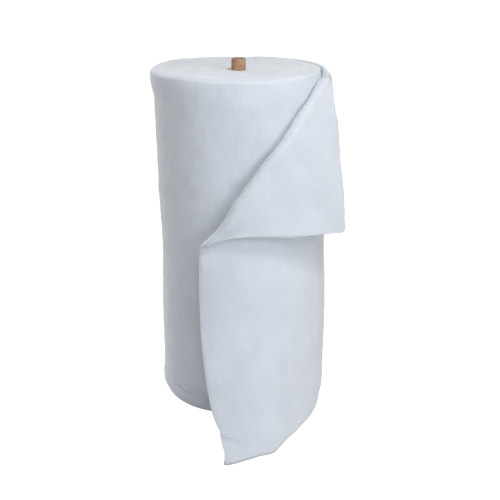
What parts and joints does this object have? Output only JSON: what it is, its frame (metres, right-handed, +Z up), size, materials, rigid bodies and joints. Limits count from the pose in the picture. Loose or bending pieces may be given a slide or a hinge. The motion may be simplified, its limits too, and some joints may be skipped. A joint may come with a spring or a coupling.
{
  "type": "roll of quilt batting",
  "caption": "Thick roll of white quilt batting standing on end on its cardboard tube, with a loose outer end that leans out to the floor and is folded over at its top corner.",
  "frame": {"origin": "on the floor under the middle of the whole part's outline", "axes": "+Z up along the roll's axis, -Y towards the side where the loose end is open, +X to the right of it"},
  "size_m": [0.6826, 0.8972, 1.259],
  "materials": {
    "batting": "matte, soft non-woven fibre fleece",
    "tube_board": "matte, spirally wound kraft board"
  },
  "bodies": {
    "root": {"wound_roll": "batting", "loose_end": "batting", "core_tube": "tube_board"}
  },
  "joints": []
}
